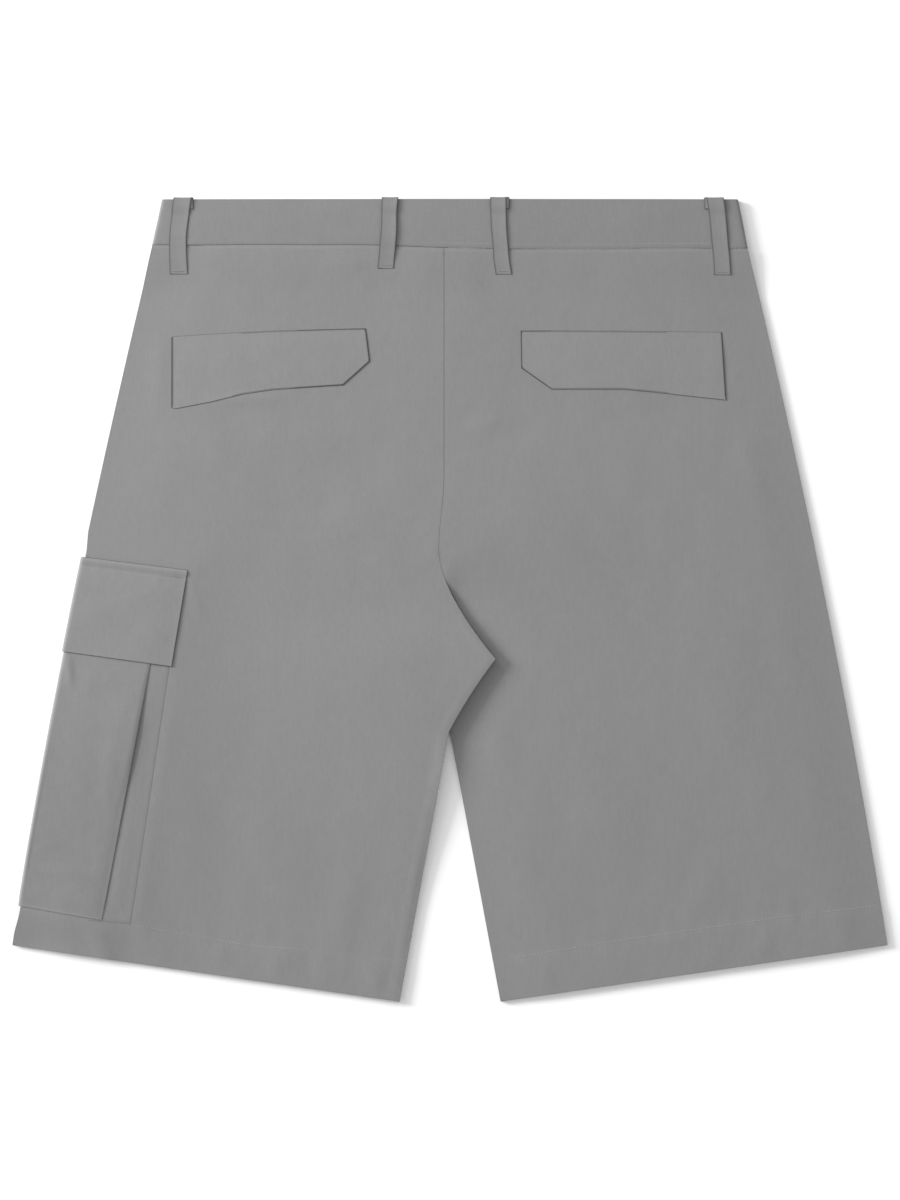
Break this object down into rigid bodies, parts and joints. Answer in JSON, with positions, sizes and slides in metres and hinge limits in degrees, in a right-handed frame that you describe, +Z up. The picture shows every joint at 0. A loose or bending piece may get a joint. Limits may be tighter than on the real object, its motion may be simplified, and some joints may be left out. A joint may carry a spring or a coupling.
{
  "type": "cargo shorts laid flat on their front",
  "caption": "Knee-length cargo shorts lying flat, back uppermost, with belt loops, flapped back pockets and a bellows cargo pocket round the wearer's left outseam.",
  "frame": {"origin": "on the surface the shorts lie on, under the middle of their outline", "axes": "+Z up out of the back, +Y from the hems to the waistband, +X towards the wearer's right leg"},
  "size_m": [0.6482, 0.5956, 0.0103],
  "materials": {
    "cloth": "matt mid-grey cotton twill, finely woven",
    "button": "dark grey, lightly polished"
  },
  "bodies": {
    "root": {"back_left": "cloth", "back_right": "cloth", "front_left": "cloth", "front_right": "cloth", "waistband": "cloth", "belt_loop_1": "cloth", "belt_loop_2": "cloth", "belt_loop_3": "cloth", "belt_loop_4": "cloth", "front_loop_left": "cloth", "front_loop_right": "cloth", "back_flap_left": "cloth", "back_flap_right": "cloth", "cargo_pocket": "cloth", "cargo_gusset_back": "cloth", "cargo_gusset_front": "cloth", "cargo_flap": "cloth", "waist_button": "button"}
  },
  "joints": []
}
